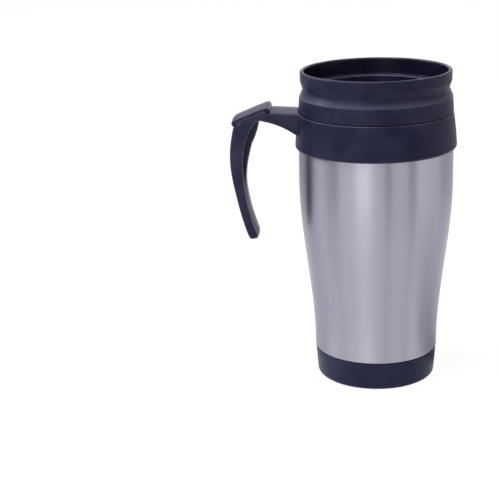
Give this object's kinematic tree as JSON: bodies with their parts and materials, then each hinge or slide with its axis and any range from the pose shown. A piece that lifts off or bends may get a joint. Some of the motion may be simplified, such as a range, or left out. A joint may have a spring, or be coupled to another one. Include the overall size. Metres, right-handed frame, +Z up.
{
  "type": "insulated travel mug",
  "caption": "Insulated travel mug: tapered steel shell, plastic collar and base, open grip handle with a thumb rest, and a screw lid with a sliding drink closure.",
  "frame": {"origin": "centre of the anti-slip pad's underside, on the surface that the mug stands on", "axes": "+Z up along the mug's axis, -X towards the handle, +Y to the right-hand side as seen from the handle"},
  "size_m": [0.1274, 0.0904, 0.178],
  "materials": {
    "black_plastic": "satin moulded",
    "handle_plastic": "satin moulded",
    "slide_plastic": "satin moulded",
    "base_plastic": "satin moulded",
    "liner_plastic": "smooth moulded",
    "steel": "brushed",
    "screw_steel": "zinc plated",
    "silicone": "matte",
    "pad_rubber": "matte",
    "foam": "closed-cell foam"
  },
  "bodies": {
    "mug_body": {"outer_shell": "steel", "inner_liner": "liner_plastic", "foam_sleeve": "foam", "foam_puck": "foam", "base_cup": "base_plastic", "base_seal": "silicone", "anti_slip_pad": "pad_rubber", "collar": "black_plastic", "collar_seal": "silicone", "handle": "handle_plastic", "thumb_rest": "handle_plastic", "handle_screw_1": "screw_steel", "handle_screw_2": "screw_steel"},
    "seal_ring": {"lid_seal": "silicone"},
    "lid": {"lid_body": "black_plastic"},
    "slide": {"slide_closure": "slide_plastic", "slide_retainer": "black_plastic"}
  },
  "joints": [
    {"name": "lid_rise", "type": "slide", "parent": "mug_body", "child": "seal_ring", "axis": [0, 0, 1], "range_m": [0, 0.0067]},
    {"name": "lid_turn", "type": "hinge", "parent": "seal_ring", "child": "lid", "pos_m": [0, 0, 0.1549], "axis": [0, 0, 1], "range_deg": [0, 300]},
    {"name": "slide_travel", "type": "slide", "parent": "lid", "child": "slide", "axis": [0.5446, -0.8387, 0], "range_m": [0, 0.0076]}
  ],
  "couplings": [
    {"joint": "lid_rise", "follows": "lid_turn", "m_per_rad": 0.0012732}
  ]
}
